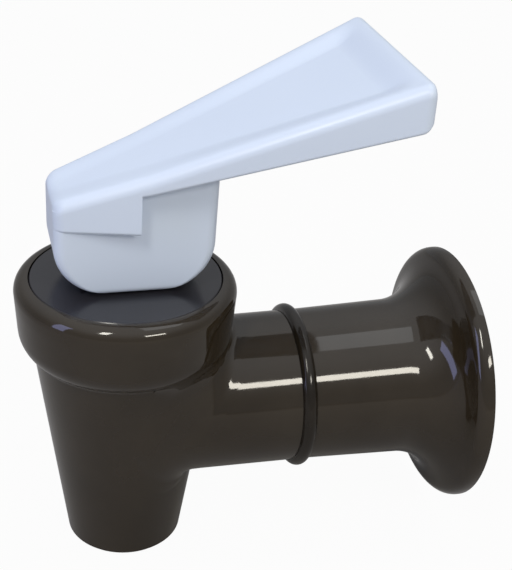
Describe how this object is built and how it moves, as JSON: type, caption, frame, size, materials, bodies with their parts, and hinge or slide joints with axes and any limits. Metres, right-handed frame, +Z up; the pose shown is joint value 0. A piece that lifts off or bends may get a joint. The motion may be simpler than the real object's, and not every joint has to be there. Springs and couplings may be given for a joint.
{
  "type": "beverage dispenser spigot",
  "caption": "Self-closing dispenser spigot with a pale blue paddle lever, black tapered spout, side arm and flared wall flange.",
  "frame": {"origin": "centre of the flange's wall face, at the mouth of the shank thread, on its axis", "axes": "+Y along the shank thread into the wall, +Z up, the spout and lever stand at -Y"},
  "size_m": [0.0426, 0.0719, 0.0822],
  "materials": {
    "black_plastic": "gloss",
    "lever_plastic": "semi-gloss",
    "black_rubber": "satin",
    "steel": "satin",
    "silicone": "satin",
    "natural_plastic": "matte"
  },
  "bodies": {
    "tap": {"body": "black_plastic", "joint_ring": "black_rubber", "shank_flange": "black_plastic", "shank_washer": "black_rubber", "bonnet": "black_plastic", "bonnet_gasket": "black_rubber", "stem_seal": "black_rubber", "spring_washer": "steel", "return_spring": "steel"},
    "seat": {"seat_plug": "silicone"},
    "stem": {"stem": "natural_plastic", "pivot_pin": "steel"},
    "lever": {"lever": "lever_plastic"}
  },
  "joints": [
    {"name": "seat_lift", "type": "slide", "parent": "tap", "child": "seat", "axis": [0, 0, 1], "range_m": [0, 0.00215], "deforming": ["return_spring"]},
    {"name": "lever_swivel", "type": "hinge", "parent": "seat", "child": "stem", "pos_m": [0, -0.0549, 0.0303], "axis": [0, 0, 1], "continuous": true},
    {"name": "lever_tilt", "type": "hinge", "parent": "stem", "child": "lever", "pos_m": [0, -0.0549, 0.0303], "axis": [-1, 0, 0], "range_deg": [0, 24], "stiffness_Nm_per_rad": 0.4, "springref_deg": -14.32}
  ],
  "couplings": [
    {"joint": "seat_lift", "follows": "lever_tilt", "m_per_rad": 0.0051}
  ]
}
